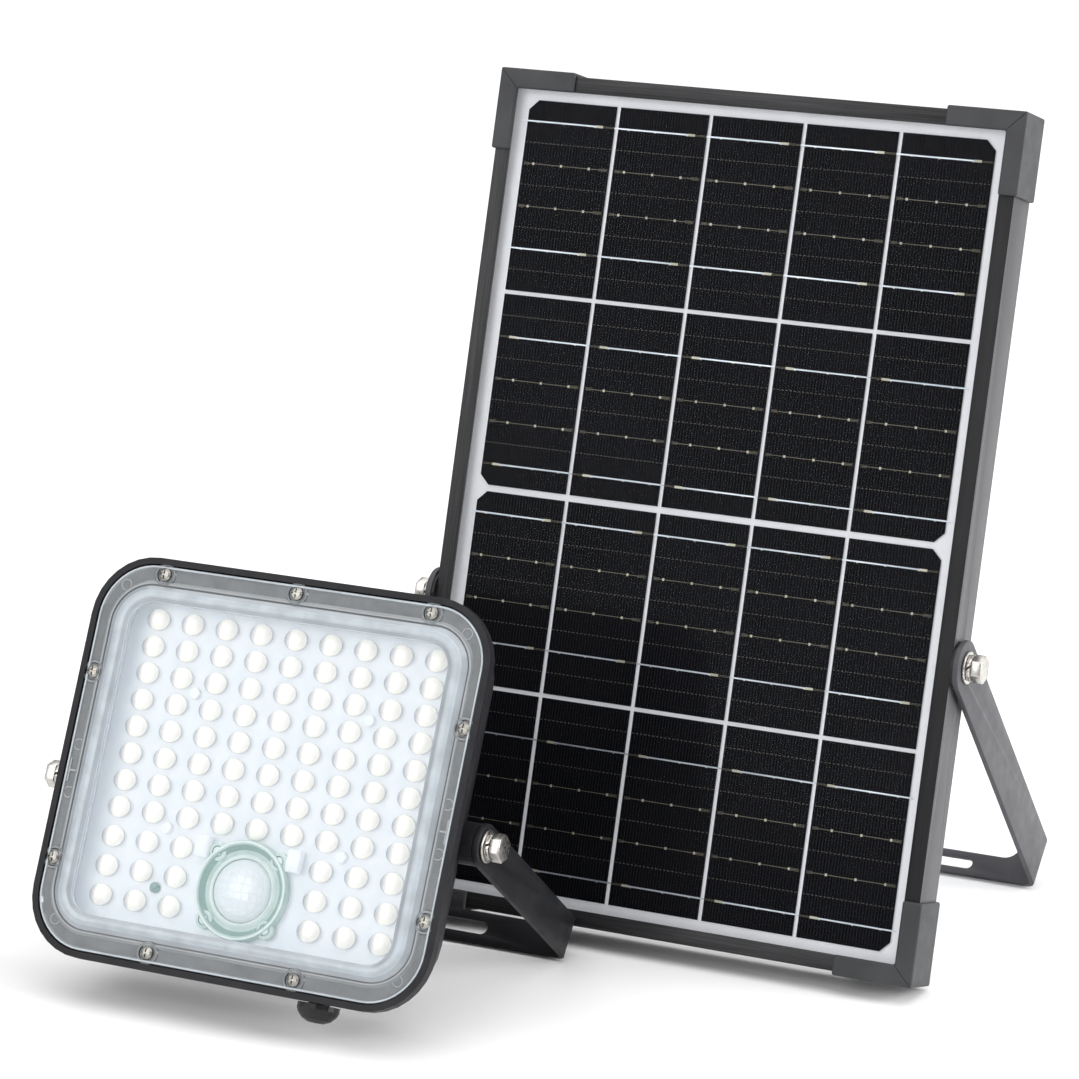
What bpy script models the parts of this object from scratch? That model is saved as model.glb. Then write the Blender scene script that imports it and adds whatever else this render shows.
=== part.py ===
"""A solar flood light: an LED lamp head and a solar panel, each tilting on its own U-bracket.

Metres, +Z up, fronts towards -Y. Both heads are modelled flat in their own frames (X right, Y up the face,
Z out of the face) under an empty on their hinge axis, which then leans them back.
"""

import math

import bmesh
import bpy
from mathutils import Euler, Matrix, Vector

GAP = 0.0003

# The lamp head: hinge position and lean, then its own frame measured from the middle of its front rim.
LAMP_HINGE = Vector((-0.07305, -0.1002, 0.0748))
LAMP_LEAN = math.radians(27.05)
LAMP_WIDTH = 0.1780
LAMP_HEIGHT = 0.1632
LAMP_CORNER = 0.0260
LAMP_AXIS_Y = -0.0097
LAMP_AXIS_Z = -0.0180
RIM_DEPTH = 0.0180
RIM_STRAIGHT = 0.0045
RIM_TAPER = 0.0050
LAMP_DEPTH = 0.0400
BULGE_SIZE = (0.1440, 0.1240)
BULGE_CORNER = 0.0180
HOUSING_WALL = 0.0025
POCKET_INSET = 0.0026
POCKET_FLOOR = -0.0042
CAVITY_SIZE = (0.1516, 0.1312)
CAVITY_CORNER = 0.0110
BOARD_SHELF = -0.0120
BOSS_RADIUS = 0.0085
BOSS_END = 0.0919

# The lens cover and its screws.
COVER_TOP = -0.0005
COVER_BOTTOM = -0.0027
WINDOW_SIZE = (0.1530, 0.1330)
WINDOW_TOP = 0.0010
WINDOW_BOTTOM = -0.0010
STEP_WIDTH = 0.0025
COVER_SCREWS = (
    (-0.0598, 0.0751), (0.0, 0.0751), (0.0598, 0.0751),
    (-0.0830, 0.0322), (0.0830, 0.0322),
    (-0.0830, -0.0438), (0.0830, -0.0438),
    (-0.0327, -0.0746), (0.0327, -0.0746),
)
SCREW_HEAD = 0.0026
SCREW_SHANK = 0.0016
COUNTERBORE = 0.0034
GASKET_OUTER = (0.1602, 0.1404, 0.0140)
GASKET_INNER = (0.1542, 0.1344, 0.0115)

# The light board, with the motion sensor low in its middle.
ARRAY_TOP = -0.0083
PIR_CENTRE = Vector((0.0, -0.0438))
PIR_RADIUS = 0.0200
PIR_DOME_RADIUS = 0.0137
PIR_EAR_REACH = 0.0193
PLATE_SCREWS = ((-0.0392, 0.0304), (0.0392, 0.0304), (-0.0392, -0.0242), (0.0392, -0.0242))
LIGHT_SENSOR = (-0.0390, -0.0484)
CONNECTOR_X = 0.0204
CONNECTOR_Y = -0.0290
GLAND_PLACE = (0.0410, -0.0105)
GLAND_RADIUS = 0.0085

# The solar panel: hinge position and lean, then its own frame measured from the middle of the cells.
PANEL_HINGE = Vector((0.04965, 0.0356, 0.1277))
PANEL_LEAN = math.radians(18.04)
PANEL_AXIS_Y = -0.0463
PANEL_AXIS_Z = -0.0049
FRAME_SIZE = (0.2282, 0.3472)
FRAME_FACE = 0.0066
FRAME_FRONT = 0.0028
FRAME_BACK = -0.0172
FRAME_WALL = 0.0015
MITRE_GAP = 0.0002
GLASS_TOP = 0.0017
GLASS_BOTTOM = -0.0005
GLASS_SIDE_GAP = 0.0005
SHEET_BOTTOM = -0.0021
SHELF_TOP = SHEET_BOTTOM - GAP
GUARD_WALL = 0.0012
GUARD_LEG = 0.0340
GUARD_FACE = 0.0083
CELL_AREA = (0.2054, 0.3253)

# The bolts that hold a head between its bracket's legs, each over a flat and a spring washer.
BOLT_HOLE = 0.0033
BOLT_SHANK = 0.0029
BOLT_HEAD = 0.0058
BOLT_HEAD_HEIGHT = 0.0042
WASHER_HOLE = 0.0032
FLAT_WASHER = (0.0066, 0.0009)
SPRING_WASHER = (0.0054, 0.0016)

# The brackets: flat strips bent into a U, on slanting legs; the foot is narrower than the legs.
STRIP = 0.0022
BEND_RADIUS = 0.0050
LAMP_LEG_FACE = 0.0944
LAMP_LEG_WIDTH = 0.0174
LAMP_LEG_SLANT = math.radians(49.5)
LAMP_FOOT_WIDTH = 0.0134
PANEL_LEG_FACE = 0.1178
PANEL_LEG_WIDTH = 0.0216
PANEL_LEG_SLANT = math.radians(41.1)
PANEL_FOOT_WIDTH = 0.0110


def clear_scene():
    for item in list(bpy.data.objects):
        bpy.data.objects.remove(item, do_unlink=True)


def new_collection(name):
    collection = bpy.data.collections.new(name)
    bpy.context.scene.collection.children.link(collection)
    return collection


def new_material(name, colour, roughness, metallic=0.0):
    material = bpy.data.materials.new(name)
    material.use_nodes = True
    shader = material.node_tree.nodes["Principled BSDF"]
    shader.inputs["Base Color"].default_value = (*colour, 1.0)
    shader.inputs["Roughness"].default_value = roughness
    shader.inputs["Metallic"].default_value = metallic
    return material


clear_scene()
parts = new_collection("solar_flood_light")
cutters = new_collection("cutters")
DARK_HOUSING = new_material("dark_housing", (0.035, 0.036, 0.042), 0.5)
COVER = new_material("clear_cover", (0.62, 0.66, 0.67), 0.15)
WHITE_BOARD = new_material("white_board", (0.85, 0.87, 0.90), 0.4)
LENS = new_material("led_lens", (0.95, 0.93, 0.84), 0.2)
GREEN_CLEAR = new_material("green_clear", (0.50, 0.62, 0.56), 0.2)
MILKY = new_material("milky_dome", (0.85, 0.87, 0.86), 0.3)
STEEL = new_material("stainless_steel", (0.62, 0.60, 0.56), 0.25, 1.0)
DARK_PAINT = new_material("dark_bracket_paint", (0.05, 0.05, 0.055), 0.5)
GREY_PAINT = new_material("grey_bracket_paint", (0.16, 0.16, 0.17), 0.5)
RAIL = new_material("anodised_rail", (0.12, 0.12, 0.13), 0.4, 0.8)
GUARD = new_material("corner_plastic", (0.06, 0.061, 0.065), 0.55)
GLASS = new_material("panel_glass", (0.80, 0.84, 0.85), 0.05)
CELL = new_material("silicon_cells", (0.012, 0.012, 0.016), 0.3)
BACKSHEET = new_material("white_backsheet", (0.78, 0.79, 0.81), 0.6)
RUBBER = new_material("black_rubber", (0.02, 0.02, 0.02), 0.8)
CIRCUIT = new_material("circuit_board", (0.03, 0.16, 0.07), 0.5)
CELL_WRAP = new_material("cell_wrap", (0.05, 0.22, 0.45), 0.4)


def new_pivot(name, place, lean, axis_y, axis_z):
    """An empty on a hinge axis that leans a head back, and under it the head's own frame."""
    pivot = bpy.data.objects.new(name, None)
    pivot.location = place
    pivot.rotation_euler = Euler((math.pi / 2 - lean, 0.0, 0.0))
    parts.objects.link(pivot)
    frame = bpy.data.objects.new(name + "_frame", None)
    frame.location = (0.0, -axis_y, -axis_z)
    frame.parent = pivot
    parts.objects.link(frame)
    return frame


def new_object(name, mesh, material, parent=None, cutter=False):
    obj = bpy.data.objects.new(name, mesh)
    obj.parent = parent
    if cutter:
        obj.hide_render = True
        obj.display_type = "WIRE"
        cutters.objects.link(obj)
    else:
        mesh.materials.append(material)
        parts.objects.link(obj)
    return obj


def mesh_from(bm, name):
    mesh = bpy.data.meshes.new(name)
    bm.to_mesh(mesh)
    bm.free()
    return mesh


def box(name, size, centre, material=None, parent=None, cutter=False):
    bm = bmesh.new()
    bmesh.ops.create_cube(bm, size=1.0, matrix=Matrix.Diagonal((*size, 1.0)))
    obj = new_object(name, mesh_from(bm, name), material, parent, cutter)
    obj.location = centre
    return obj


TURNS = {"X": Matrix.Rotation(math.pi / 2, 4, "Y"), "Y": Matrix.Rotation(-math.pi / 2, 4, "X"), "Z": Matrix()}


def cylinder(name, radius, start, end, axis, centre, material=None, parent=None, cutter=False, sides=24):
    """A cylinder along X, Y or Z between two places on that axis."""
    bm = bmesh.new()
    turn = TURNS[axis] @ Matrix.Translation((0.0, 0.0, (start + end) / 2))
    bmesh.ops.create_cone(
        bm, cap_ends=True, segments=sides, radius1=radius, radius2=radius, depth=end - start, matrix=turn
    )
    obj = new_object(name, mesh_from(bm, name), material, parent, cutter)
    obj.location = centre
    shade(obj)
    return obj


def shade(obj):
    obj.data.shade_smooth()
    obj.data.set_sharp_from_angle(angle=math.radians(35))


def rounded_rectangle(width, height, radius, steps=6):
    points = []
    for quarter, (side_x, side_y) in enumerate(((1, 1), (-1, 1), (-1, -1), (1, -1))):
        for step in range(steps + 1):
            angle = math.pi / 2 * (quarter + step / steps)
            points.append((
                side_x * (width / 2 - radius) + radius * math.cos(angle),
                side_y * (height / 2 - radius) + radius * math.sin(angle),
            ))
    return points


def circle(radius, centre=(0.0, 0.0), sides=16):
    angles = [2 * math.pi * side / sides for side in range(sides)]
    return [(centre[0] + radius * math.cos(a), centre[1] + radius * math.sin(a)) for a in angles]


def slot(length, width, centre, steps=6):
    """The outline of a hole with round ends that runs along X."""
    points = rounded_rectangle(length, width, width / 2 - 1e-6, steps)
    return [(x + centre[0], y + centre[1]) for x, y in points]


def plate(name, outlines, low, high, material=None, parent=None, cutter=False):
    """A flat plate between two heights, from its outline and the outlines of its holes."""
    curve = bpy.data.curves.new(name, "CURVE")
    curve.dimensions = "2D"
    curve.fill_mode = "BOTH"
    curve.extrude = (high - low) / 2
    for outline in outlines:
        spline = curve.splines.new("POLY")
        spline.points.add(len(outline) - 1)
        for point, (x, y) in zip(spline.points, outline):
            point.co = (x, y, 0.0, 1.0)
        spline.use_cyclic_u = True
    guide = bpy.data.objects.new(name + "_outline", curve)
    bpy.context.scene.collection.objects.link(guide)
    bpy.context.view_layer.update()
    graph = bpy.context.evaluated_depsgraph_get()
    mesh = bpy.data.meshes.new_from_object(guide.evaluated_get(graph))
    bpy.data.objects.remove(guide)
    bm = bmesh.new()
    bm.from_mesh(mesh)
    bmesh.ops.remove_doubles(bm, verts=bm.verts, dist=1e-6)
    bmesh.ops.dissolve_limit(bm, angle_limit=math.radians(0.5), verts=bm.verts, edges=bm.edges)
    bmesh.ops.translate(bm, verts=bm.verts, vec=(0.0, 0.0, (low + high) / 2))
    bmesh.ops.recalc_face_normals(bm, faces=bm.faces)
    bm.to_mesh(mesh)
    bm.free()
    mesh.name = name
    return new_object(name, mesh, material, parent, cutter)


def turned(name, profile, axis, centre, material, parent, sides=24):
    """A turned piece: (radius, height) points from the top of its outside down, round an axis."""
    bm = bmesh.new()
    rim = [bm.verts.new((radius, 0.0, height)) for radius, height in profile]
    for near, far in zip(rim, rim[1:]):
        bm.edges.new((near, far))
    if profile[0][0] > 0.0 and profile[-1][0] > 0.0:
        bm.edges.new((rim[-1], rim[0]))
    obj = new_object(name, mesh_from(bm, name), material, parent)
    screw = obj.modifiers.new("turn", "SCREW")
    screw.steps = sides
    screw.render_steps = sides
    screw.use_merge_vertices = True
    screw.merge_threshold = 1e-6
    obj.rotation_euler = TURNS[axis].to_euler()
    obj.location = centre
    return obj


def boolean(target, other, operation):
    modifier = target.modifiers.new(other.name, "BOOLEAN")
    modifier.operation = operation
    modifier.object = other
    modifier.solver = "EXACT"


def cut(target, *others):
    for other in others:
        boolean(target, other, "DIFFERENCE")


def join(target, *others):
    for other in others:
        boolean(target, other, "UNION")


def bevel(obj, width, segments=2, angle=40):
    modifier = obj.modifiers.new("edges", "BEVEL")
    modifier.width = width
    modifier.segments = segments
    modifier.limit_method = "ANGLE"
    modifier.angle_limit = math.radians(angle)


def narrow(obj, height, inset):
    """Moves the vertices below a height towards the Z axis, by an inset at their outline."""
    for vertex in obj.data.vertices:
        if vertex.co.z < height:
            vertex.co.x -= math.copysign(inset, vertex.co.x)
            vertex.co.y -= math.copysign(inset, vertex.co.y)


def lamp_housing(frame):
    front = rounded_rectangle(LAMP_WIDTH, LAMP_HEIGHT, LAMP_CORNER, 8)
    housing = plate("lamp_housing", [front], -RIM_STRAIGHT, 0.0, DARK_HOUSING, frame)
    tray = plate("tray_blank", [front], -RIM_DEPTH, 0.0, parent=frame, cutter=True)
    narrow(tray, -RIM_STRAIGHT, RIM_TAPER)
    bulge_outline = rounded_rectangle(*BULGE_SIZE, BULGE_CORNER)
    bulge = plate("bulge_blank", [bulge_outline], -LAMP_DEPTH, -RIM_DEPTH + 0.001, parent=frame, cutter=True)
    narrow(bulge, -RIM_DEPTH - 0.001, 0.0020)
    bosses = cylinder(
        "boss_blank", BOSS_RADIUS, -BOSS_END, BOSS_END, "X", (0.0, LAMP_AXIS_Y, LAMP_AXIS_Z),
        parent=frame, cutter=True,
    )
    join(housing, tray, bulge, bosses)
    pocket_outline = rounded_rectangle(
        LAMP_WIDTH - 2 * POCKET_INSET, LAMP_HEIGHT - 2 * POCKET_INSET, LAMP_CORNER - POCKET_INSET, 8
    )
    pocket = plate("pocket_cutter", [pocket_outline], POCKET_FLOOR, 0.01, parent=frame, cutter=True)
    well_outline = rounded_rectangle(*CAVITY_SIZE, CAVITY_CORNER)
    well = plate("well_cutter", [well_outline], BOARD_SHELF, 0.01, parent=frame, cutter=True)
    inner_size = [side - 2 * (HOUSING_WALL + 0.0020) for side in BULGE_SIZE]
    inner_outline = rounded_rectangle(*inner_size, BULGE_CORNER - HOUSING_WALL)
    inner = plate(
        "inner_cutter", [inner_outline], -LAMP_DEPTH + HOUSING_WALL, 0.01, parent=frame, cutter=True
    )
    cut(housing, pocket, well, inner)
    for number, (x, y) in enumerate(COVER_SCREWS, 1):
        cut(housing, cylinder(
            f"screw_hole_{number}", SCREW_SHANK + GAP, -0.0105, 0.0, "Z", (x, y, 0.0),
            parent=frame, cutter=True, sides=12,
        ))
    for side in (-1, 1):
        ends = sorted((side * (BOSS_END - 0.012), side * 0.1))
        cut(housing, cylinder(
            f"bolt_socket_{side}", BOLT_HOLE, *ends, "X", (0.0, LAMP_AXIS_Y, LAMP_AXIS_Z),
            parent=frame, cutter=True, sides=16,
        ))
    cut(housing, cylinder(
        "gland_hole", 0.0048, -0.1, -0.0600, "Y", (GLAND_PLACE[0], 0.0, GLAND_PLACE[1]),
        parent=frame, cutter=True, sides=16,
    ))


def lens_cover(frame):
    edge = POCKET_INSET + GAP
    outline = rounded_rectangle(LAMP_WIDTH - 2 * edge, LAMP_HEIGHT - 2 * edge, LAMP_CORNER - edge, 8)
    holes = [circle(SCREW_SHANK + GAP, place, 12) for place in COVER_SCREWS]
    cover = plate("lens_cover", [outline, *holes], COVER_BOTTOM, COVER_TOP, COVER, frame)
    step_size = [side + 2 * STEP_WIDTH for side in WINDOW_SIZE]
    step = plate(
        "window_blank", [rounded_rectangle(*step_size, 0.0145)], COVER_BOTTOM + 0.0004, WINDOW_TOP,
        parent=frame, cutter=True,
    )
    for vertex in step.data.vertices:
        if vertex.co.z > 0.0:
            vertex.co.x -= math.copysign(STEP_WIDTH / 2, vertex.co.x)
            vertex.co.y -= math.copysign(STEP_WIDTH / 2, vertex.co.y)
    hollow = plate(
        "window_hollow", [rounded_rectangle(WINDOW_SIZE[0] - 0.001, WINDOW_SIZE[1] - 0.001, 0.0115)],
        -0.01, WINDOW_BOTTOM, parent=frame, cutter=True,
    )
    join(cover, step)
    cut(cover, hollow)
    for number, (x, y) in enumerate(COVER_SCREWS, 1):
        cut(cover, cylinder(
            f"counterbore_{number}", COUNTERBORE, -0.0015, 0.01, "Z", (x, y, 0.0),
            parent=frame, cutter=True, sides=16,
        ))


def cover_gasket(frame):
    outlines = [rounded_rectangle(*GASKET_OUTER), rounded_rectangle(*GASKET_INNER)]
    plate("cover_gasket", outlines, POCKET_FLOOR + GAP, COVER_BOTTOM - GAP, RUBBER, frame)


def cover_screws(frame):
    profile = (
        (0.0, 0.0007), (SCREW_HEAD * 0.7, 0.0004), (SCREW_HEAD, -0.0003), (SCREW_HEAD, -0.0012),
        (SCREW_SHANK, -0.0012), (SCREW_SHANK, -0.0090), (0.0, -0.0100),
    )
    for number, (x, y) in enumerate(COVER_SCREWS, 1):
        screw = turned(f"cover_screw_{number}", profile, "Z", (x, y, 0.0), STEEL, frame, 16)
        recess = box(f"recess_{number}_a", (0.0006, 0.0036, 0.0020), (x, y, 0.0008), parent=frame, cutter=True)
        cross = box(f"recess_{number}_b", (0.0036, 0.0006, 0.0020), (x, y, 0.0008), parent=frame, cutter=True)
        cut(screw, recess, cross)


def light_board(frame):
    board_size = (CAVITY_SIZE[0] - 0.0012, CAVITY_SIZE[1] - 0.0012)
    board_outline = rounded_rectangle(*board_size, CAVITY_CORNER - 0.0006)
    plate("led_board", [board_outline], BOARD_SHELF + GAP, BOARD_SHELF + 0.0019, WHITE_BOARD, frame)
    array_outline = rounded_rectangle(board_size[0] - 0.001, board_size[1] - 0.001, CAVITY_CORNER - 0.0011)
    plate("led_lens_array", [array_outline], BOARD_SHELF + 0.0022, ARRAY_TOP, LENS, frame)
    for number, (x, y) in enumerate(PLATE_SCREWS, 1):
        profile = ((0.0, ARRAY_TOP + 0.0020), (0.0021, ARRAY_TOP + 0.0016), (0.0025, ARRAY_TOP + 0.0008),
                   (0.0025, ARRAY_TOP + GAP), (0.0, ARRAY_TOP + GAP))
        turned(f"board_screw_{number}", profile, "Z", (x, y, 0.0), MILKY, frame, 14)
    for name, side in (("left", -1), ("right", 1)):
        socket = box(
            f"connector_{name}", (0.0060, 0.0090, 0.0040),
            (side * CONNECTOR_X, CONNECTOR_Y, ARRAY_TOP + GAP + 0.0020), WHITE_BOARD, frame,
        )
        bevel(socket, 0.0005, 1)
    sensor = ((0.0, ARRAY_TOP + 0.0022), (0.0012, ARRAY_TOP + 0.0019), (0.0022, ARRAY_TOP + 0.0010),
              (0.0022, ARRAY_TOP + GAP), (0.0, ARRAY_TOP + GAP))
    turned("light_sensor", sensor, "Z", (*LIGHT_SENSOR, 0.0), GREEN_CLEAR, frame, 14)


def motion_sensor(frame):
    base = ARRAY_TOP + GAP
    centre = (*PIR_CENTRE, 0.0)
    ring = (
        (PIR_RADIUS - 0.0008, base + 0.0040), (PIR_RADIUS, base + 0.0030), (PIR_RADIUS, base),
        (PIR_DOME_RADIUS + GAP, base), (PIR_DOME_RADIUS + GAP, base + 0.0012),
        (PIR_DOME_RADIUS + 0.0014, base + 0.0016), (PIR_RADIUS - 0.0022, base + 0.0038),
    )
    holder = turned("pir_holder", ring, "Z", centre, GREEN_CLEAR, frame, 32)
    for number in range(4):
        angle = math.radians(45 + 90 * number)
        place = (
            PIR_CENTRE.x + PIR_EAR_REACH * math.cos(angle),
            PIR_CENTRE.y + PIR_EAR_REACH * math.sin(angle), 0.0,
        )
        join(holder, cylinder(
            f"ear_{number}", 0.0036, base, base + 0.0026, "Z", place, parent=frame, cutter=True, sides=14,
        ))
    rise = 0.0062
    wall = 0.0009
    steps = 5
    outside = [
        (PIR_DOME_RADIUS * math.sin(a), base + rise * math.cos(a))
        for a in (math.pi / 2 * step / steps for step in range(steps + 1))
    ]
    inside = [
        ((PIR_DOME_RADIUS - wall) * math.sin(a), base + (rise - wall) * math.cos(a))
        for a in (math.pi / 2 * step / steps for step in range(steps, -1, -1))
    ]
    turned("pir_dome", outside + inside, "Z", centre, MILKY, frame, 24)
    can = ((0.0, base + 0.0034), (0.0042, base + 0.0034), (0.0046, base + 0.0030), (0.0046, base), (0.0, base))
    turned("pir_sensor", can, "Z", centre, STEEL, frame, 16)


def lamp_power(frame):
    """Three battery cells and the charge controller on the floor of the housing."""
    floor = -LAMP_DEPTH + HOUSING_WALL + GAP
    radius = 0.0092
    for number, y in enumerate((-0.0210, 0.0, 0.0210), 1):
        cylinder(
            f"battery_cell_{number}", radius, -0.0325, 0.0325, "X", (-0.0180, y, floor + radius),
            CELL_WRAP, frame, sides=20,
        )
    box("control_board", (0.0300, 0.0800, 0.0016), (0.0420, 0.0, floor + 0.0008), CIRCUIT, frame)


def cable_gland(frame):
    """The lamp's cable inlet: a nut with a domed cap on a neck that passes the rim's lower wall."""
    profile = (
        (0.0, 0.0072), (0.0032, 0.0070), (0.0058, 0.0058), (GLAND_RADIUS - 0.0008, 0.0038),
        (GLAND_RADIUS, 0.0020), (GLAND_RADIUS, 0.0), (0.0044, 0.0), (0.0044, -0.0090), (0.0, -0.0090),
    )
    x, z = GLAND_PLACE
    gland = turned("cable_gland", profile, "Z", (x, -LAMP_HEIGHT / 2 - GAP, z), RUBBER, frame, 20)
    gland.rotation_euler = (math.pi / 2, 0.0, 0.0)


def hexagon_mesh(name, radius, start, end):
    bm = bmesh.new()
    turn = TURNS["X"] @ Matrix.Translation((0.0, 0.0, (start + end) / 2))
    bmesh.ops.create_cone(
        bm, cap_ends=True, segments=6, radius1=radius, radius2=radius, depth=abs(end - start), matrix=turn
    )
    return mesh_from(bm, name)


def hex_bolt(name, side, face, shank_end, frame, axis_y, axis_z):
    """A bolt along X whose head stands outside a bracket leg, over its two washers."""
    head_start = face + FLAT_WASHER[1] + SPRING_WASHER[1] + 3 * GAP
    head = hexagon_mesh(name, BOLT_HEAD, side * head_start, side * (head_start + BOLT_HEAD_HEIGHT))
    bolt = new_object(name, head, STEEL, frame)
    bolt.location = (0.0, axis_y, axis_z)
    ends = sorted((side * shank_end, side * (head_start + 0.0010)))
    shank = cylinder(
        name + "_shank", BOLT_SHANK, *ends, "X", (0.0, axis_y, axis_z), parent=frame, cutter=True, sides=16,
    )
    join(bolt, shank)


def washer(name, radius, start, end, frame, axis_y, axis_z, split):
    low, high = sorted((start, end))
    outlines = [circle(radius, sides=20), circle(WASHER_HOLE, sides=20)]
    ring = plate(name, outlines, low, high, STEEL, frame)
    ring.data.transform(TURNS["X"])
    ring.location = (0.0, axis_y, axis_z)
    if split:
        gap = box(
            name + "_split", (0.01, 0.0010, 0.01), ((low + high) / 2, axis_y, axis_z + 0.0048),
            parent=frame, cutter=True,
        )
        gap.rotation_euler = (0.0, 0.0, math.radians(25))
        cut(ring, gap)


def bolts(prefix, face, shank_end, frame, axis_y, axis_z):
    for name, side in (("left", -1), ("right", 1)):
        hex_bolt(f"{prefix}_bolt_{name}", side, face, shank_end, frame, axis_y, axis_z)
        start = face
        for kind, (radius, thickness) in (("flat", FLAT_WASHER), ("spring", SPRING_WASHER)):
            start += GAP
            ends = (side * start, side * (start + thickness))
            washer(f"{prefix}_{kind}_washer_{name}", radius, *ends, frame, axis_y, axis_z, kind == "spring")
            start += thickness


def arc_path(corner, start_angle, end_angle, radius, steps=5):
    angles = [start_angle + (end_angle - start_angle) * step / steps for step in range(steps + 1)]
    return [(corner[0] + radius * math.cos(a), corner[1] + radius * math.sin(a)) for a in angles]


def bracket(name, material, hinge, leg_face, leg_width, slant, foot_width, slots):
    """A strip bent into a U that is open at its hinge, turned back until its foot's front edge is at Z = 0.

    In its own frame the legs stand up, the hinge is the X axis and the foot lies across the bottom.
    """
    radius = leg_width / 2
    drop = (hinge.z - radius * math.sin(slant)) / math.cos(slant)
    bend = BEND_RADIUS
    left = [(-leg_face, radius + 0.01)] + arc_path(
        (-leg_face + bend, -drop + bend), math.pi, 3 * math.pi / 2, bend
    )
    path = left + [(-x, z) for x, z in reversed(left)]
    bm = bmesh.new()
    front = [bm.verts.new((x, -radius - 0.01, z)) for x, z in path]
    back = [bm.verts.new((x, radius + 0.01, z)) for x, z in path]
    for index in range(len(path) - 1):
        bm.faces.new((front[index], front[index + 1], back[index + 1], back[index]))
    strip = new_object(name, mesh_from(bm, name), material)
    strip.location = hinge
    strip.rotation_euler = (slant, 0.0, 0.0)
    solid = strip.modifiers.new("thickness", "SOLIDIFY")
    solid.thickness = STRIP
    solid.offset = 1.0
    solid.use_even_offset = True
    leg_outline = [(radius, -drop - 0.01)]
    for step in range(17):
        angle = math.pi * step / 16
        leg_outline.append((radius * math.cos(angle), radius * math.sin(angle)))
    leg_outline.append((-radius, -drop - 0.01))
    reach = leg_face + 0.01
    keep = plate(name + "_legs", [leg_outline], -reach, reach, parent=strip, cutter=True)
    keep.data.transform(Matrix(((0, 0, 1, 0), (1, 0, 0, 0), (0, 1, 0, 0), (0, 0, 0, 1))))
    boolean(strip, keep, "INTERSECT")
    relief_width = 2 * (leg_face - bend - 0.0065)
    relief_centre = -radius + foot_width + 0.05
    relief = plate(
        name + "_relief", [rounded_rectangle(relief_width, 0.1, 0.0060)],
        -drop - 0.01, -drop + STRIP + 0.0100, parent=strip, cutter=True,
    )
    relief.location = (0.0, relief_centre, 0.0)
    holes = plate(
        name + "_slots", slots, -drop - 0.01, -drop + STRIP + 0.01, parent=strip, cutter=True
    )
    holes.location = (0.0, -radius + foot_width / 2, 0.0)
    pins = cylinder(
        name + "_pins", BOLT_HOLE, -reach, reach, "X", (0.0, 0.0, 0.0), parent=strip, cutter=True, sides=16,
    )
    cut(strip, relief, holes, pins)


def panel_rails(frame):
    """Four channel rails, mitred: a lip over the glass, an outer wall, a shelf under the sheets, a back flange."""
    wall = FRAME_WALL
    shelf_end = FRAME_FACE - 0.0010
    flange_end = 0.0120
    section = [
        (0.0, FRAME_BACK), (0.0, FRAME_FRONT), (FRAME_FACE, FRAME_FRONT), (FRAME_FACE, GLASS_TOP + GAP),
        (wall, GLASS_TOP + GAP), (wall, SHELF_TOP), (shelf_end, SHELF_TOP), (shelf_end, SHELF_TOP - wall),
        (wall, SHELF_TOP - wall), (wall, FRAME_BACK + wall), (flange_end, FRAME_BACK + wall),
        (flange_end, FRAME_BACK),
    ]
    width, height = FRAME_SIZE
    for name, length, offset, turn in (
        ("right", height, width / 2, 0.0), ("top", width, height / 2, math.pi / 2),
        ("left", height, width / 2, math.pi), ("bottom", width, height / 2, -math.pi / 2),
    ):
        rail = plate(f"rail_{name}", [section], -length / 2, length / 2, RAIL, frame)
        for vertex in rail.data.vertices:
            vertex.co.z -= math.copysign(vertex.co.x + MITRE_GAP, vertex.co.z)
        upright = Matrix(((-1, 0, 0, offset), (0, 0, 1, 0), (0, 1, 0, 0), (0, 0, 0, 1)))
        rail.data.transform(Matrix.Rotation(turn, 4, "Z") @ upright)
    for name, side in (("left", -1), ("right", 1)):
        ends = sorted((side * (width / 2 - FRAME_WALL - 0.0001), side * (width / 2 + 0.004)))
        cut(bpy.data.objects[f"rail_{name}"], cylinder(
            f"rail_{name}_hole", BOLT_HOLE, *ends, "X", (0.0, PANEL_AXIS_Y, PANEL_AXIS_Z),
            parent=frame, cutter=True, sides=16,
        ))


def corner_outline(outer_x, outer_y, leg, face, side_x, side_y):
    """An L round one corner of the frame."""
    points = [
        (outer_x, outer_y), (outer_x - leg, outer_y), (outer_x - leg, outer_y - face),
        (outer_x - face, outer_y - face), (outer_x - face, outer_y - leg), (outer_x, outer_y - leg),
    ]
    return [(side_x * x, side_y * y) for x, y in points]


def corner_guards(frame):
    inner_x = FRAME_SIZE[0] / 2 + GAP
    inner_y = FRAME_SIZE[1] / 2 + GAP
    front = FRAME_FRONT + GAP + GUARD_WALL
    back = FRAME_BACK - GAP - GUARD_WALL
    for name, side_x, side_y in (
        ("top_left", -1, 1), ("top_right", 1, 1), ("bottom_left", -1, -1), ("bottom_right", 1, -1),
    ):
        outline = corner_outline(
            inner_x + GUARD_WALL, inner_y + GUARD_WALL, GUARD_LEG, GUARD_FACE, side_x, side_y
        )
        guard = plate(f"corner_guard_{name}", [outline], back, front, GUARD, frame)
        bevel(guard, 0.0008, 2, 60)
        hollow = corner_outline(inner_x, inner_y, GUARD_LEG + 0.01, 0.02, side_x, side_y)
        cut(guard, plate(
            f"{name}_hollow", [hollow], FRAME_BACK - GAP, FRAME_FRONT + GAP, parent=frame, cutter=True
        ))
        place = Vector((side_x * (inner_x - 0.0035), side_y * (inner_y - 0.0035), front))
        groove = box(
            f"{name}_mitre", (0.0155, 0.0004, 0.0006), place, parent=frame, cutter=True
        )
        groove.rotation_euler = (0.0, 0.0, math.radians(45 * side_x * side_y))
        cut(guard, groove)


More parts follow.
